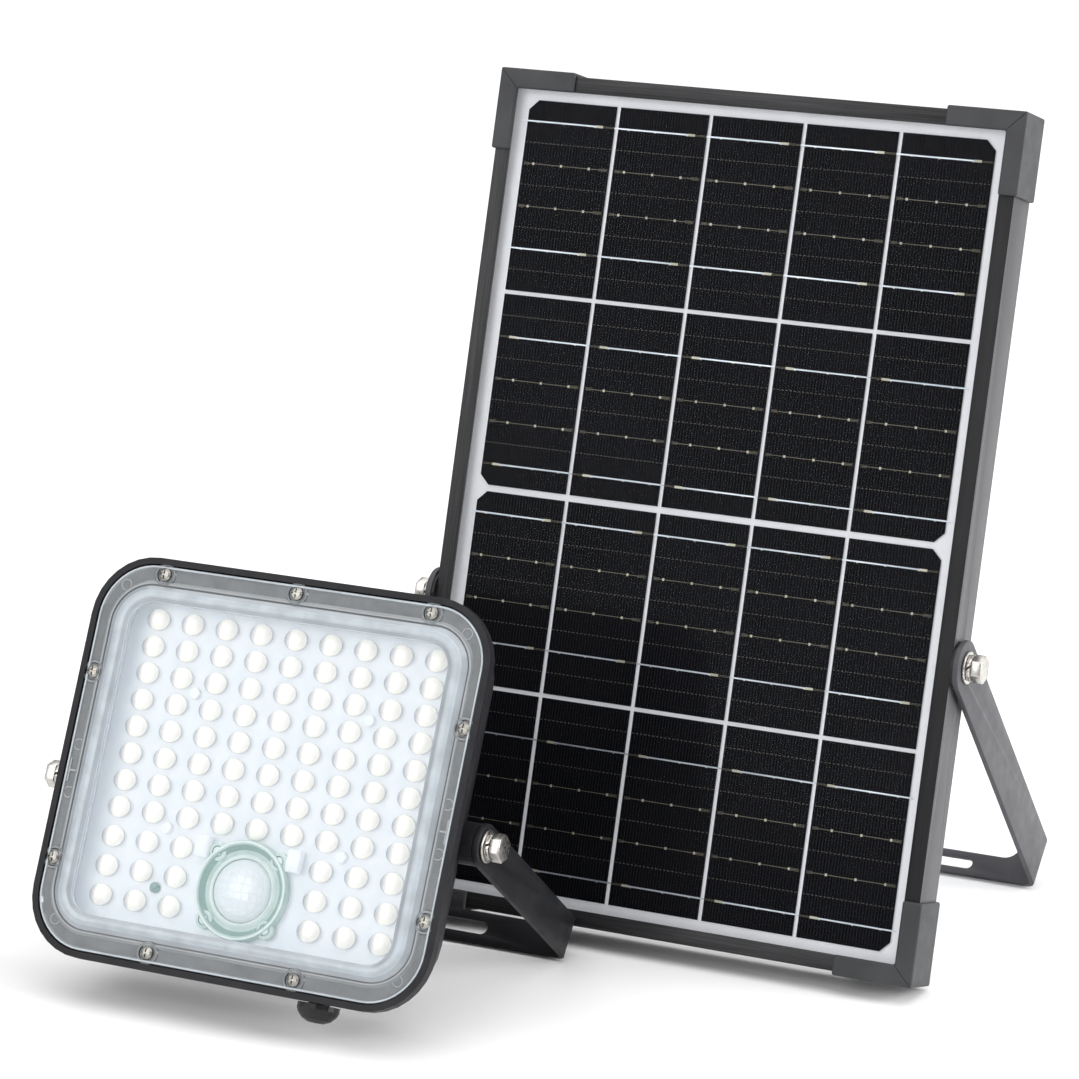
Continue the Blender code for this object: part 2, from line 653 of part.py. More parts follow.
def panel_sheets(frame):
    inner = [side - 2 * (FRAME_WALL + GLASS_SIDE_GAP) for side in FRAME_SIZE]
    sheet_top = SHEET_BOTTOM + 0.0006
    cells_top = GLASS_BOTTOM - GAP
    for name, size, low, high, material in (
        ("panel_glass", inner, GLASS_BOTTOM, GLASS_TOP, GLASS),
        ("solar_cells", CELL_AREA, sheet_top + GAP, cells_top, CELL),
        ("backsheet", inner, SHEET_BOTTOM, sheet_top, BACKSHEET),
    ):
        box(name, (*size, high - low), (0.0, 0.0, (low + high) / 2), material, frame)


def junction_box(frame):
    top = SHEET_BOTTOM - GAP
    y = 0.1150
    shell = box("junction_box", (0.0560, 0.0440, 0.0120), (0.0, y, top - 0.0060), GUARD, frame)
    bevel(shell, 0.0015)
    lid = box("junction_box_lid", (0.0500, 0.0380, 0.0016), (0.0, y, top - 0.0120 - GAP - 0.0008), GUARD, frame)
    bevel(lid, 0.0005, 1)
    profile = (
        (0.0, 0.0110), (0.0028, 0.0107), (0.0044, 0.0090), (0.0048, 0.0050), (0.0048, 0.0), (0.0, 0.0),
    )
    inlet = turned("panel_cable_inlet", profile, "Z", (0.0, y - 0.0220 - GAP, top - 0.0062), RUBBER, frame, 16)
    inlet.rotation_euler = (math.pi / 2, 0.0, 0.0)


def pivot_pads(frame):
    """The round spacers between the panel's rails and its bracket."""
    rail_face = FRAME_SIZE[0] / 2 + GAP
    leg_inside = PANEL_LEG_FACE - STRIP - GAP
    for name, side in (("left", -1), ("right", 1)):
        ends = sorted((side * rail_face, side * leg_inside))
        pad = plate(f"pivot_pad_{name}", [circle(0.0100, sides=24), circle(BOLT_HOLE)], *ends, GUARD, frame)
        pad.data.transform(TURNS["X"])
        pad.location = (0.0, PANEL_AXIS_Y, PANEL_AXIS_Z)


def build():
    lamp = new_pivot("lamp_tilt", LAMP_HINGE, LAMP_LEAN, LAMP_AXIS_Y, LAMP_AXIS_Z)
    lamp_housing(lamp)
    cover_gasket(lamp)
    lens_cover(lamp)
    cover_screws(lamp)
    light_board(lamp)
    motion_sensor(lamp)
    lamp_power(lamp)
    cable_gland(lamp)
    bolts("lamp", LAMP_LEG_FACE, BOSS_END - 0.0100, lamp, LAMP_AXIS_Y, LAMP_AXIS_Z)
    bracket(
        "lamp_bracket", DARK_PAINT, LAMP_HINGE, LAMP_LEG_FACE, LAMP_LEG_WIDTH, LAMP_LEG_SLANT,
        LAMP_FOOT_WIDTH,
        [slot(0.0400, 0.0055, (-0.0370, 0.0)), slot(0.0400, 0.0055, (0.0370, 0.0)), circle(0.0030)],
    )
    panel = new_pivot("panel_tilt", PANEL_HINGE, PANEL_LEAN, PANEL_AXIS_Y, PANEL_AXIS_Z)
    panel_rails(panel)
    corner_guards(panel)
    panel_sheets(panel)
    junction_box(panel)
    pivot_pads(panel)
    bolts("panel", PANEL_LEG_FACE, FRAME_SIZE[0] / 2 - 0.0013, panel, PANEL_AXIS_Y, PANEL_AXIS_Z)
    bracket(
        "panel_bracket", GREY_PAINT, PANEL_HINGE, PANEL_LEG_FACE, PANEL_LEG_WIDTH, PANEL_LEG_SLANT,
        PANEL_FOOT_WIDTH,
        [slot(0.0480, 0.0050, (-0.0640, 0.0)), slot(0.0480, 0.0050, (0.0640, 0.0)), circle(0.0026)],
    )


build()
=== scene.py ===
"""The solar flood light's looks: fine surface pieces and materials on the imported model.

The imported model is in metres. The lamp and the panel each have a frame of their own, with X to the right,
Y up the face and Z out of the face, and the new pieces are drawn there in millimetres.
"""

import math

import bmesh
import bpy
from mathutils import Euler, Matrix, Vector


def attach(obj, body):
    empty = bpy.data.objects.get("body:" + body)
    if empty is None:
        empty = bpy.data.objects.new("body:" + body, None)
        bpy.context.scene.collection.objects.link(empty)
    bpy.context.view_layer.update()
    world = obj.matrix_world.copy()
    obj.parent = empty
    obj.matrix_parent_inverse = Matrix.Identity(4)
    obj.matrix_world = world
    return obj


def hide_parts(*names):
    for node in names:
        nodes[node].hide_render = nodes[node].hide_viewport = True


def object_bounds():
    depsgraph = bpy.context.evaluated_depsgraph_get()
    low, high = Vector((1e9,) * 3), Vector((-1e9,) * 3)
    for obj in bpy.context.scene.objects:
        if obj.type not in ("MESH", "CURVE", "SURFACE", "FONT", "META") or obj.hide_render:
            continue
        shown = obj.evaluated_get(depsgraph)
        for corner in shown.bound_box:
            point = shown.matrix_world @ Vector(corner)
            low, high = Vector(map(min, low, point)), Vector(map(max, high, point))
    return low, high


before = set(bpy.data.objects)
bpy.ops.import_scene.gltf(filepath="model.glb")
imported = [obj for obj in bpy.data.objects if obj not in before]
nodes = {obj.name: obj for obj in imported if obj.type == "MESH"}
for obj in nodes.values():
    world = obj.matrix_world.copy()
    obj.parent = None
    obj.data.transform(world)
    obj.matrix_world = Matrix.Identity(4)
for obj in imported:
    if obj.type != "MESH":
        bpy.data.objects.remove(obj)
cad_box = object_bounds()
MM = 0.001


def head_frame(hinge, lean, axis_y, axis_z):
    """A head's own frame, from its hinge, its lean and the hinge's place in that frame."""
    turn = Matrix.Rotation(math.pi / 2 - lean, 4, "X")
    return Matrix.Translation(hinge) @ turn @ Matrix.Translation((0.0, -axis_y, -axis_z))


LAMP = head_frame(Vector((-0.07305, -0.1002, 0.0748)), math.radians(27.05), -0.0097, -0.0180)
PANEL = head_frame(Vector((0.04965, 0.0356, 0.1277)), math.radians(18.04), -0.0463, -0.0049)


# ---------------------------------------------------------------------------------------------------------
# Materials. Noise scales are per metre, and bump distances are in metres.
# ---------------------------------------------------------------------------------------------------------


class Paint:
    """A node material under construction: one Principled shader and the textures that feed it."""

    def __init__(self, name, **sockets):
        self.material = bpy.data.materials.new(name)
        self.material.use_nodes = True
        self.tree = self.material.node_tree
        self.shader = self.tree.nodes["Principled BSDF"]
        for socket, value in sockets.items():
            self.set(socket.replace("_", " "), value)

    def set(self, socket, value):
        """Gives one of the shader's inputs a fixed number or colour."""
        if isinstance(value, tuple) and len(value) == 3:
            value = (*value, 1.0)
        self.shader.inputs[socket].default_value = value

    def add(self, kind, **settings):
        node = self.tree.nodes.new(kind)
        for key, value in settings.items():
            setattr(node, key, value)
        return node

    def link(self, source, target):
        self.tree.links.new(source, target)

    def feed(self, socket, source):
        """Links a texture to one of the shader's inputs."""
        self.link(source, self.shader.inputs[socket])

    def coordinates(self, frame_matrix=None, stretch=(1.0, 1.0, 1.0)):
        """Object coordinates, turned into a head's own frame where one is given."""
        out = self.add("ShaderNodeTexCoord").outputs["Object"]
        if frame_matrix is not None:
            turn = self.add("ShaderNodeMapping", vector_type="TEXTURE")
            turn.inputs["Location"].default_value = frame_matrix.to_translation()
            turn.inputs["Rotation"].default_value = frame_matrix.to_euler()
            self.link(out, turn.inputs["Vector"])
            out = turn.outputs["Vector"]
        if stretch != (1.0, 1.0, 1.0):
            scale = self.add("ShaderNodeMapping")
            scale.inputs["Scale"].default_value = stretch
            self.link(out, scale.inputs["Vector"])
            out = scale.outputs["Vector"]
        return out

    def normal(self):
        """The surface's direction in the object's own axes."""
        return self.add("ShaderNodeTexCoord").outputs["Normal"]

    def axis(self, vector, name):
        split = self.add("ShaderNodeSeparateXYZ")
        self.link(vector, split.inputs["Vector"])
        return split.outputs[name]

    def noise(self, coordinates, scale, detail=3.0, roughness=0.5):
        node = self.add("ShaderNodeTexNoise")
        node.inputs["Scale"].default_value = scale
        node.inputs["Detail"].default_value = detail
        node.inputs["Roughness"].default_value = roughness
        self.link(coordinates, node.inputs["Vector"])
        return node.outputs["Fac"]

    def blend(self, factor, low_colour, high_colour, start=0.35, end=0.65):
        """A colour that goes from one to another as the factor goes from start to end."""
        ramp = self.add("ShaderNodeValToRGB")
        ramp.color_ramp.elements[0].position = start
        ramp.color_ramp.elements[0].color = (*low_colour, 1.0)
        ramp.color_ramp.elements[1].position = end
        ramp.color_ramp.elements[1].color = (*high_colour, 1.0)
        self.link(factor, ramp.inputs["Fac"])
        return ramp.outputs["Color"]

    def spread(self, factor, low, high, start=0.3, end=0.7):
        """A number that goes from low to high as the factor goes from start to end."""
        node = self.add("ShaderNodeMapRange")
        node.inputs["From Min"].default_value = start
        node.inputs["From Max"].default_value = end
        node.inputs["To Min"].default_value = low
        node.inputs["To Max"].default_value = high
        self.link(factor, node.inputs["Value"])
        return node.outputs["Result"]

    def around(self, factor, middle, reach):
        """A number that varies by reach on either side of a middle value."""
        return self.spread(factor, middle - reach, middle + reach)

    def mix(self, factor, source, colour):
        """One colour input, going over to a plain colour as the factor rises."""
        node = self.add("ShaderNodeMix", data_type="RGBA")
        low, high = [socket for socket in node.inputs if socket.type == "RGBA"]
        high.default_value = (*colour, 1.0)
        self.link(factor, node.inputs["Factor"])
        self.link(source, low)
        return next(socket for socket in node.outputs if socket.type == "RGBA")

    def bump(self, height, strength, distance):
        node = self.add("ShaderNodeBump")
        node.inputs["Strength"].default_value = strength
        node.inputs["Distance"].default_value = distance
        self.link(height, node.inputs["Height"])
        self.link(node.outputs["Normal"], self.shader.inputs["Normal"])


def grained(name, dark, light, rough, grain, strength, metallic=0.0, shine=0.3, place=None):
    """Moulded plastic or powder coat: cloudy colour, uneven gloss, and a fine grain in relief."""
    paint = Paint(name, Metallic=metallic, Specular_IOR_Level=shine)
    where = paint.coordinates(place)
    cloud = paint.noise(where, scale=45.0, detail=4.0)
    paint.feed("Base Color", paint.blend(cloud, dark, light))
    paint.feed("Roughness", paint.around(paint.noise(where, scale=160.0), rough, 0.06))
    paint.bump(paint.noise(where, scale=grain, detail=2.0), strength, distance=0.00008)
    return paint.material


def brushed(name, dark, light, rough, along, place, metallic, strength=0.25, side=None):
    """Metal with fine lines along one axis of a head's own frame; where a side colour is given, its X sides
    take that colour as painted light from the side.
    """
    paint = Paint(name, Metallic=metallic, Specular_IOR_Level=0.35)
    stretch = tuple(0.012 if axis == along else 1.0 for axis in "XYZ")
    lines = paint.noise(paint.coordinates(place, stretch), scale=2600.0, detail=4.0, roughness=0.65)
    cloud = paint.noise(paint.coordinates(place), scale=30.0)
    colour = paint.blend(lines, dark, light, start=0.30, end=0.70)
    # painted light: faces turned towards X get the lighter side colour, as if lit from the side
    if side:
        facing = paint.add("ShaderNodeMath", operation="ABSOLUTE")
        paint.link(paint.axis(paint.normal(), "X"), facing.inputs[0])
        side_light_mask = paint.spread(facing.outputs["Value"], 0.0, 0.75, start=0.6, end=0.9)
        colour = paint.mix(side_light_mask, colour, side)
    paint.feed("Base Color", colour)
    paint.feed("Roughness", paint.around(cloud, rough, 0.05))
    paint.bump(lines, strength, distance=0.00004)
    return paint.material


def steel(name, dark, light):
    """Stainless steel with turning marks and slight stains."""
    paint = Paint(name, Metallic=1.0)
    where = paint.coordinates()
    paint.feed("Base Color", paint.blend(paint.noise(where, scale=300.0), dark, light))
    paint.feed("Roughness", paint.spread(paint.noise(where, scale=700.0, detail=4.0), 0.22, 0.36))
    paint.bump(paint.noise(where, scale=900.0, detail=2.0), 0.02, distance=0.00003)
    return paint.material


def clear(name, tint, facing_alpha, edge_alpha, rough, ripple):
    """A clear sheet: nearly all of what is behind it shows, and more of it reflects towards its edges."""
    paint = Paint(name, Base_Color=tint, Roughness=rough, Specular_IOR_Level=0.5)
    fresnel = paint.add("ShaderNodeFresnel")
    fresnel.inputs["IOR"].default_value = 1.5
    paint.feed("Alpha", paint.spread(fresnel.outputs["Fac"], facing_alpha, edge_alpha, start=0.04, end=0.6))
    paint.bump(paint.noise(paint.coordinates(), scale=25.0, detail=2.0), ripple, distance=0.0002)
    return paint.material


def frosted(name, dark, light):
    """Grey translucent plastic with a soft sparkle and a dark housing under it."""
    paint = Paint(name, Coat_Weight=0.6, Coat_Roughness=0.12)
    where = paint.coordinates()
    cloud = paint.noise(where, scale=90.0, detail=5.0)
    paint.feed("Base Color", paint.blend(cloud, dark, light, start=0.3, end=0.7))
    paint.feed("Roughness", paint.spread(paint.noise(where, scale=500.0), 0.28, 0.45))
    paint.bump(paint.noise(where, scale=2200.0), 0.35, distance=0.0001)
    return paint.material


def glossy_edge(name, colour, rough):
    """The thick clear plastic at ribs and steps, which gathers light; its plain colour is painted: a painted
    highlight at the ribs, painted shade on the step's slopes and in the sensor holder's bowl, and the light
    sensor's own deeper green.
    """
    paint = Paint(name, Coat_Weight=1.0, Coat_Roughness=0.05)
    where = paint.coordinates()
    light = tuple(min(1.0, channel * 1.25) for channel in colour)
    paint.feed("Base Color", paint.blend(paint.noise(where, scale=60.0), colour, light))
    paint.feed("Roughness", paint.around(paint.noise(where, scale=300.0), rough, 0.05))
    paint.bump(paint.noise(where, scale=800.0), 0.1, distance=0.00006)
    return paint.material


def painted_glow(name, dark, light, emission, rough=0.35):
    """A pale surface with a painted glow: it emits its own colour, standing in for the light around it that
    fills it.
    """
    paint = Paint(name, Emission_Strength=emission)
    where = paint.coordinates()
    cloud = paint.blend(paint.noise(where, scale=120.0), dark, light)
    paint.feed("Base Color", cloud)
    paint.feed("Emission Color", cloud)
    paint.feed("Roughness", paint.around(paint.noise(where, scale=400.0), rough, 0.05))
    paint.bump(paint.noise(where, scale=1500.0), 0.08, distance=0.00005)
    return paint.material


def led_material(name):
    """A lens with a painted glow of warm white, and painted shade that makes it grey at its foot and on its
    left side, where the chip isn't seen.
    """
    paint = Paint(name, Roughness=0.12)
    where = paint.coordinates()
    # painted shade: the lens goes grey on its left side and towards its foot
    left_side_shade = paint.spread(paint.axis(paint.normal(), "X"), 0.0, 1.0, start=-0.85, end=-0.20)
    foot = paint.spread(paint.axis(where, "Z"), 0.35, 1.0, start=-0.0083, end=-0.0072)
    light = paint.add("ShaderNodeMath", operation="MULTIPLY")
    paint.link(left_side_shade, light.inputs[0])
    paint.link(foot, light.inputs[1])
    painted_light_level = light.outputs["Value"]
    colour = paint.blend(painted_light_level, (0.36, 0.36, 0.41), (0.95, 0.915, 0.835), start=0.05, end=0.85)
    paint.feed("Base Color", colour)
    paint.feed("Emission Color", colour)
    # painted glow: the lens emits its own colour, more where the painted light is fuller
    paint.feed("Emission Strength", paint.spread(painted_light_level, 0.0, 0.22, start=0.2, end=1.0))
    paint.bump(paint.noise(where, scale=900.0), 0.05, distance=0.00005)
    return paint.material


def cell_material(name):
    """Dark silicon with fine vertical fingers and a slow drift in shade."""
    half_pitch = 0.00065
    half_width = 0.00045
    paint = Paint(name, Specular_IOR_Level=0.008)
    where = paint.coordinates()
    cloud = paint.noise(where, scale=14.0)
    dark = paint.blend(cloud, (0.0030, 0.0030, 0.0045), (0.0055, 0.0055, 0.0075))
    wave = paint.add("ShaderNodeMath", operation="PINGPONG")
    paint.link(paint.axis(where, "X"), wave.inputs[0])
    wave.inputs[1].default_value = half_pitch
    finger = paint.spread(wave.outputs["Value"], 1.0, 0.0, start=0.0, end=half_width)
    paint.feed("Base Color", paint.mix(finger, dark, (0.018, 0.018, 0.021)))
    paint.feed("Roughness", paint.spread(cloud, 0.30, 0.42))
    return paint.material


def lens_dome_material(name):
    """The motion sensor's dome: milky, with the edges of its small lenses pressed in and painted a little
    darker as painted shade, and a faint painted glow.
    """
    paint = Paint(name, Roughness=0.16, Coat_Weight=0.8, Coat_Roughness=0.06, Emission_Strength=0.10)
    where = paint.coordinates()
    facets = paint.add("ShaderNodeTexVoronoi", feature="DISTANCE_TO_EDGE")
    facets.inputs["Scale"].default_value = 300.0
    facets.inputs["Randomness"].default_value = 0.25
    paint.link(where, facets.inputs["Vector"])
    edge = paint.spread(facets.outputs["Distance"], 0.0, 1.0, start=0.0, end=0.10)
    # painted shade: a darker colour along the small lenses' pressed-in edges; the emission below is a
    # painted glow
    colour = paint.blend(edge, (0.74, 0.785, 0.79), (0.80, 0.835, 0.84), start=0.0, end=1.0)
    paint.feed("Base Color", colour)
    paint.feed("Emission Color", colour)
    paint.bump(edge, 0.35, distance=0.0003)
    return paint.material


# Plastics and coats: dark, light, roughness, grain scale, grain strength.
HOUSING = grained("housing_plastic", (0.010, 0.010, 0.012), (0.015, 0.015, 0.018), 0.44, 2600.0, 0.5,
                  shine=0.22, place=LAMP)
GUARD = grained("guard_plastic", (0.036, 0.037, 0.040), (0.048, 0.049, 0.053), 0.50, 2200.0, 0.55,
                place=PANEL)
DARK_COAT = grained("dark_powder_coat", (0.007, 0.007, 0.009), (0.012, 0.012, 0.014), 0.46, 1900.0, 0.5,
                    shine=0.2)
GREY_COAT = grained("grey_powder_coat", (0.052, 0.052, 0.058), (0.072, 0.072, 0.079), 0.45, 1900.0, 0.5)
RUBBER = grained("black_rubber", (0.008, 0.008, 0.009), (0.015, 0.015, 0.016), 0.38, 1500.0, 0.4)
CIRCUIT = grained("circuit_green", (0.02, 0.10, 0.05), (0.03, 0.15, 0.07), 0.4, 1500.0, 0.3)
WRAP = grained("cell_wrap", (0.03, 0.15, 0.35), (0.04, 0.20, 0.42), 0.3, 900.0, 0.2, shine=0.5)
TAN = grained("silver_print", (0.16, 0.145, 0.11), (0.24, 0.215, 0.165), 0.5, 900.0, 0.1, metallic=0.3)
FAINT = grained("silver_print_faint", (0.120, 0.112, 0.092), (0.170, 0.160, 0.130), 0.5, 900.0, 0.1,
                metallic=0.3)
PAD = grained("solder_pad", (0.42, 0.40, 0.31), (0.66, 0.63, 0.52), 0.4, 900.0, 0.1, metallic=0.3)

# Metals: dark, light and, where brushed, roughness, the lines' axis, frame and metallic. The right-hand
# rail's face is painted darker than the others' as painted shade, and the rails' sides lighter as painted
# light.
RAIL_DARK = (0.004, 0.004, 0.005)
RAIL_LIGHT = (0.038, 0.038, 0.041)
# painted light: the rails' sides are given a lighter grey than their faces
RAIL_SIDE_PAINTED_LIGHT = (0.100, 0.100, 0.107)
RAIL_LEFT = brushed("rail_left", RAIL_DARK, RAIL_LIGHT, 0.40, "Y", PANEL, 0.2, side=RAIL_SIDE_PAINTED_LIGHT)
# painted shade: the right-hand rail is a darker copy of the left one's coat
RAIL_RIGHT_PAINTED_SHADE = brushed("rail_right", (0.001, 0.001, 0.002), (0.010, 0.010, 0.012), 0.46, "Y", PANEL, 0.2,
                     side=RAIL_SIDE_PAINTED_LIGHT)
RAIL_LEVEL = brushed("rail_level", RAIL_DARK, RAIL_LIGHT, 0.40, "X", PANEL, 0.2)
RIBBON = brushed("cell_ribbon", (0.30, 0.34, 0.40), (0.84, 0.88, 0.95), 0.35, "X", None, 0.6, strength=0.4)
STEEL = steel("stainless_steel", (0.50, 0.48, 0.45), (0.66, 0.64, 0.61))
SCREW_STEEL = steel("screw_steel", (0.24, 0.23, 0.21), (0.40, 0.39, 0.36))

# Clear surfaces: tint, alpha where faced, alpha at the edge, roughness. Pale ones, with a painted glow:
# dark, light, emission.
GLASS = clear("panel_glass", (0.03, 0.035, 0.04), 0.02, 0.5, 0.08, ripple=0.05)
WINDOW = clear("window_clear", (0.82, 0.90, 1.0), 0.05, 0.6, 0.04, ripple=0.07)
FLANGE = frosted("flange_frosted", (0.064, 0.073, 0.080), (0.106, 0.118, 0.127))
# painted highlight: the ribs, the screw cups' lips and the pin marks are lighter than the flange
RIB_HIGHLIGHT = glossy_edge("flange_rib_highlight", (0.19, 0.205, 0.215), 0.22)
# painted highlight: the step's crest and the rim's top are lighter and glow a little, as where light falls
# on them
STEP_HIGHLIGHT = painted_glow("step_painted_highlight", (0.36, 0.40, 0.43), (0.44, 0.49, 0.53), 0.06, rough=0.2)
# painted shade: the step's slopes, a darker copy of the crest
STEP_SHADE = glossy_edge("step_shade", (0.30, 0.33, 0.36), 0.20)
# painted glow: the white plastic, the backsheet and the board emit light, though none of them is a lamp
WHITE_PLASTIC = painted_glow("white_plastic", (0.80, 0.82, 0.84), (0.86, 0.88, 0.90), 0.20)
BACKSHEET = painted_glow("backsheet_film", (0.83, 0.845, 0.885), (0.87, 0.885, 0.925), 0.19, rough=0.5)
BOARD = painted_glow("board_glow", (0.78, 0.82, 0.85), (0.83, 0.865, 0.89), 0.07)
# painted glow: the holder's green emits light; the deeper green is painted shade in the holder and the light
# sensor's own colour; the pale green is painted highlight on rims and screw heads
GREEN = painted_glow("holder_green", (0.42, 0.55, 0.50), (0.55, 0.66, 0.62), 0.12, rough=0.16)
GREEN_DEEP_AND_SHADE = glossy_edge("holder_green_deep_and_shade", (0.22, 0.35, 0.30), 0.18)
PALE_GREEN_HIGHLIGHT = painted_glow("holder_rim_highlight", (0.66, 0.74, 0.70), (0.74, 0.80, 0.77), 0.15, rough=0.12)
# painted glow: the milky screws emit light of their own colour
MILKY = painted_glow("screw_milky", (0.76, 0.79, 0.80), (0.82, 0.85, 0.86), 0.20, rough=0.16)
LED = led_material("led_lens_glow")
SENSOR_DOME = lens_dome_material("sensor_dome")
CELL = cell_material("silicon_cell")


# ---------------------------------------------------------------------------------------------------------
# Mesh helpers, in millimetres in a head's own frame
# ---------------------------------------------------------------------------------------------------------


def piece(name, bm, materials, body, place, smooth=35.0):
    """Makes an object of a mesh drawn in a head's own frame, and lets it ride on a body.

    Edges sharper than the smooth angle, in degrees, stay sharp. An angle of 0 leaves the mesh flat.
    """
    bmesh.ops.scale(bm, vec=(MM, MM, MM), verts=bm.verts)
    bmesh.ops.recalc_face_normals(bm, faces=bm.faces)
    mesh = bpy.data.meshes.new(name)
    bm.to_mesh(mesh)
    bm.free()
    for material in materials:
        mesh.materials.append(material)
    if smooth:
        mesh.shade_smooth()
        mesh.set_sharp_from_angle(angle=math.radians(smooth))
    obj = bpy.data.objects.new(name, mesh)
    bpy.context.scene.collection.objects.link(obj)
    obj.matrix_world = place
    bpy.context.view_layer.update()
    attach(obj, body)
    return obj


def rounded_ring(half_x, half_y, corner, steps=12):
    """Points round a rectangle with round corners, the same number whatever its size."""
    points = []
    for quarter, (side_x, side_y) in enumerate(((1, 1), (-1, 1), (-1, -1), (1, -1))):
        for step in range(steps + 1):
            angle = math.pi / 2 * (quarter + step / steps)
            points.append((
                side_x * (half_x - corner) + corner * math.cos(angle),
                side_y * (half_y - corner) + corner * math.sin(angle),
            ))
    return points


def circle_ring(radius, centre, sides):
    turns = [2 * math.pi * side / sides for side in range(sides)]
    return [(centre[0] + radius * math.cos(turn), centre[1] + radius * math.sin(turn)) for turn in turns]


def loft(bm, rings, slots=(0,), cap_first=False, cap_last=False):
    """Bridges rings, given as (points, height). Each band has a material slot, and the last one repeats."""
    rows = [[bm.verts.new((x, y, height)) for x, y in points] for points, height in rings]
    count = len(rows[0])
    for band, (near, far) in enumerate(zip(rows, rows[1:])):
        for index in range(count):
            following = (index + 1) % count
            face = bm.faces.new((near[index], near[following], far[following], far[index]))
            face.material_index = slots[min(band, len(slots) - 1)]
    if cap_first:
        bm.faces.new(rows[0]).material_index = slots[0]
    if cap_last:
        bm.faces.new(rows[-1]).material_index = slots[-1]


def turned(bm, profile, centre, sides, slots=(0,), cap_last=True):
    """A turned shape from (radius, height) points, the outermost first."""
    rings = [(circle_ring(radius, centre, sides), height) for radius, height in profile]
    loft(bm, rings, slots, cap_last=cap_last)


def bar(bm, ends, sides, heights):
    """A flat bar between two ends in X, two sides in Y and two heights."""
    made = bmesh.ops.create_cube(bm, size=1.0)
    spans = (ends, sides, heights)
    size = Vector([span[1] - span[0] for span in spans])
    centre = Vector([(span[0] + span[1]) / 2 for span in spans])
    bmesh.ops.scale(bm, vec=size, verts=made["verts"])
    bmesh.ops.translate(bm, vec=centre, verts=made["verts"])


def centred(middle, half):
    """The two ends of a span, from its middle and half its width."""
    return middle - half, middle + half


# ---------------------------------------------------------------------------------------------------------
# The lamp's cover: a frosted flange with ribs in a painted highlight, a step with a painted highlight on its
# crest and painted shade on its slopes, and a clear window inside it
# ---------------------------------------------------------------------------------------------------------

COVER_MATERIALS = (FLANGE, RIB_HIGHLIGHT, STEP_HIGHLIGHT, STEP_SHADE)
COVER_RINGS = (  # half width, half height, corner radius, height; from the outside in
    (86.0, 78.6, 23.0, -2.7), (86.0, 78.6, 23.0, -0.8), (85.7, 78.3, 22.7, -0.4), (85.0, 77.6, 22.0, -0.4),
    (84.5, 77.0, 21.6, -1.1), (81.9, 72.5, 18.8, -1.2), (81.3, 71.9, 18.2, -0.7), (80.2, 70.8, 17.2, -0.7),
    (79.6, 70.2, 16.6, -1.0), (77.4, 68.4, 14.6, 0.3), (76.4, 67.6, 13.8, 0.9), (74.4, 66.0, 12.6, 1.0),
    (73.4, 65.3, 12.0, 0.8), (72.2, 64.5, 11.2, 0.0), (71.4, 63.9, 10.6, -0.1),
)
# Slots: 0 frosted flange, 1 ribs with painted highlight, 2 step crest and rim top with painted highlight, 3
# step slopes with painted shade.
COVER_SLOTS = (1, 1, 2, 1, 0, 1, 1, 0, 3, 2, 2, 2, 3, 3)
WINDOW_THICKNESS = 1.1
SCREW_PLACES = (
    (-59.8, 75.1), (0.0, 75.1), (59.8, 75.1), (-83.0, 32.2), (83.0, 32.2), (-83.0, -43.8), (83.0, -43.8),
    (-32.7, -74.6), (32.7, -74.6),
)
# painted shadow: the cups' insides take the dark housing plastic; their lips carry the ribs' painted
# highlight
CUP_MATERIALS = (RIB_HIGHLIGHT, FLANGE, HOUSING)
CUP_PROFILE = ((5.0, -1.25), (4.6, -0.7), (4.0, -0.5), (3.6, -0.7), (3.3, -1.25), (2.75, -1.4))
CUP_SLOTS = (1, 0, 0, 2, 2)
CUP_SIDES = 28
MARK_PLACES = (
    (-76.4, 69.0), (76.4, 69.0), (-76.4, -67.8), (76.4, -67.8),
    (-82.7, 2.3), (82.7, 2.3), (-82.7, -17.2), (82.7, -17.2),
)
MARK_PROFILE = ((2.5, -1.22), (2.35, -0.95), (1.95, -0.95), (1.8, -1.22))
MARK_SIDES = 24
MARK_BARS = (  # between X from the middle, Y and height, on either side
    ((81.4, 85.0), (-8.7, -7.9), (-1.3, -0.75)),
    ((84.0, 84.7), (-13.0, -3.4), (-1.3, -0.8)),
)


def make_cover():
    bm = bmesh.new()
    rings = [(rounded_ring(x, y, corner), z) for x, y, corner, z in COVER_RINGS]
    loft(bm, rings, COVER_SLOTS)
    cover = piece("cover_flange", bm, COVER_MATERIALS, "lamp", LAMP, smooth=40.0)

    bm = bmesh.new()
    edge, z = rings[-1]
    loft(bm, [(edge, z - WINDOW_THICKNESS), (edge, z)], cap_first=True, cap_last=True)
    window = piece("cover_window", bm, (WINDOW,), "lamp", LAMP)
    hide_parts("lens_cover")

    bm = bmesh.new()
    for centre in SCREW_PLACES:
        turned(bm, CUP_PROFILE, centre, CUP_SIDES, CUP_SLOTS, cap_last=False)
    cups = piece("cover_screw_cups", bm, CUP_MATERIALS, "lamp", LAMP)

    bm = bmesh.new()
    for centre in MARK_PLACES:
        turned(bm, MARK_PROFILE, centre, MARK_SIDES, cap_last=False)
    for side in (-1, 1):
        for ends, sides, heights in MARK_BARS:
            bar(bm, sorted(side * end for end in ends), sides, heights)
    marks = piece("cover_marks", bm, (RIB_HIGHLIGHT,), "lamp", LAMP)


# ---------------------------------------------------------------------------------------------------------
# The light board's lenses
# ---------------------------------------------------------------------------------------------------------

